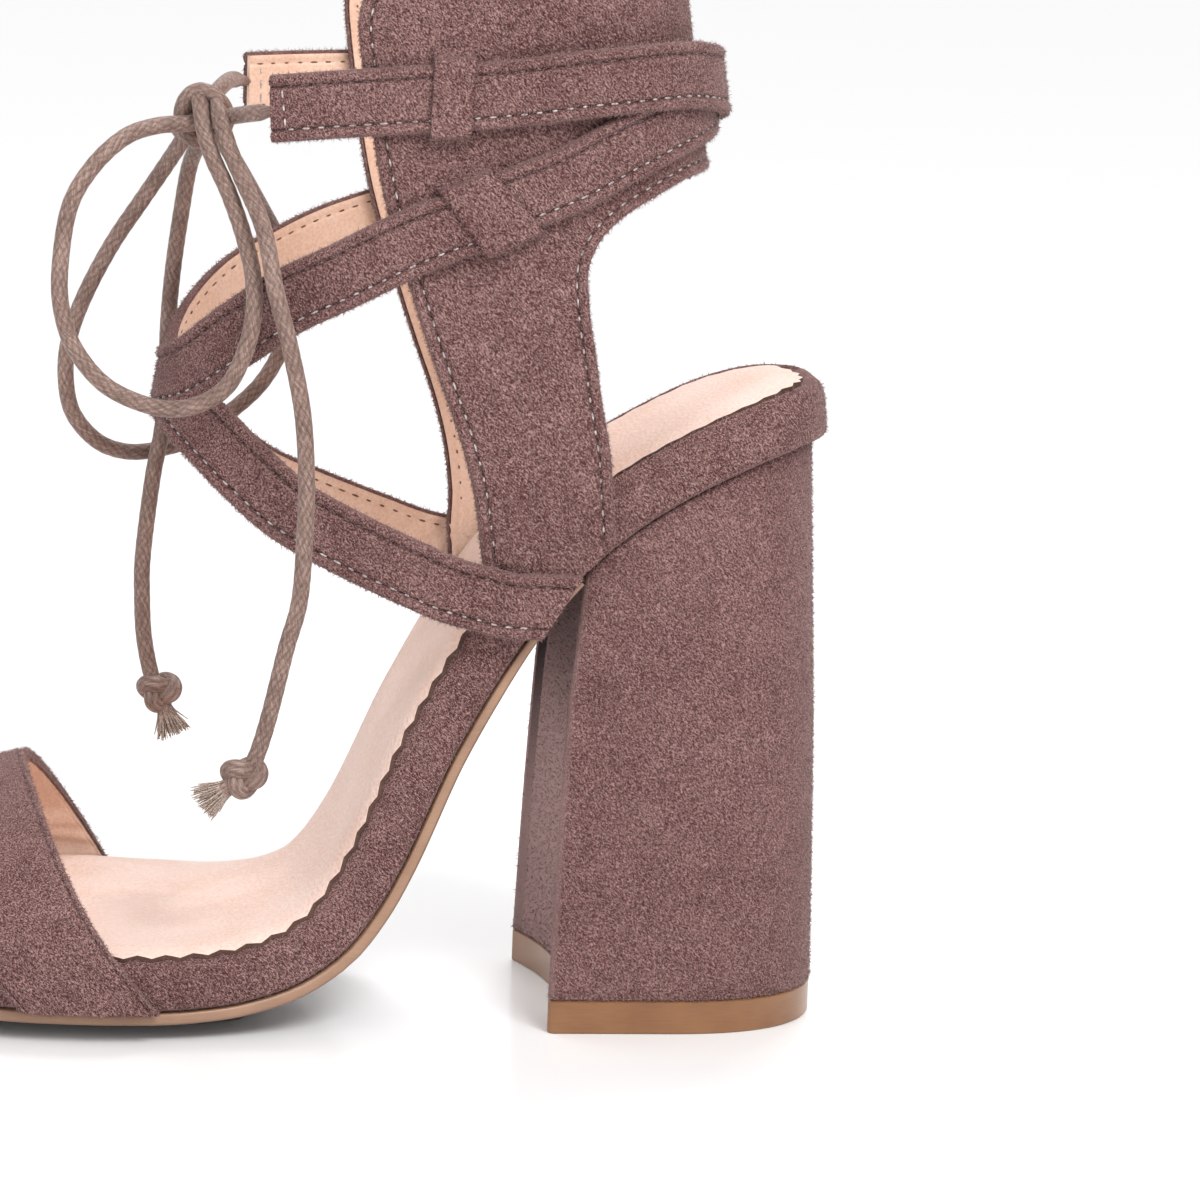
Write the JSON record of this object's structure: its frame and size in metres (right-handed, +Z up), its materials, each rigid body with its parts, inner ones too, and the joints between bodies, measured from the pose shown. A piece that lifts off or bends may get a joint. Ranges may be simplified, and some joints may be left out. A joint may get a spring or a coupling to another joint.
{
  "type": "block heel sandal",
  "caption": "Open sandal on a tall block heel: wide band over the toes, ankle cuff with side panels, crossed straps through belt loops and a cord tied in a bow at the front.",
  "frame": {"origin": "on the floor, under the middle of the shoe's box measured without the cord", "axes": "+X from the toe to the heel, +Y from the outer (lateral) to the inner (medial) side, +Z up"},
  "size_m": [0.2014, 0.0882, 0.1875],
  "materials": {
    "taupe_suede": "napped suede",
    "nude_leather": "smooth, satin",
    "tan_resin": "satin",
    "caramel_rubber": "polished edge",
    "waxed_cord": "braided, waxed"
  },
  "bodies": {
    "root": {"ankle_cuff": "taupe_suede", "bow_knot": "waxed_cord", "cross_straps": "taupe_suede", "heel_block": "taupe_suede", "lateral_bow_loop": "waxed_cord", "lateral_cord_bar": "waxed_cord", "lateral_cord_tail": "waxed_cord", "lateral_frayed_tip": "waxed_cord", "lateral_lower_loop": "taupe_suede", "lateral_tail_knot": "waxed_cord", "lateral_upper_loop": "taupe_suede", "medial_bow_loop": "waxed_cord", "medial_cord_bar": "waxed_cord", "medial_cord_tail": "waxed_cord", "medial_frayed_tip": "waxed_cord", "medial_lower_loop": "taupe_suede", "medial_tail_knot": "waxed_cord", "medial_upper_loop": "taupe_suede", "outsole": "tan_resin", "sock_lining": "nude_leather", "toe_band": "taupe_suede", "top_lift": "caramel_rubber", "wrapped_insole": "taupe_suede"}
  },
  "joints": []
}
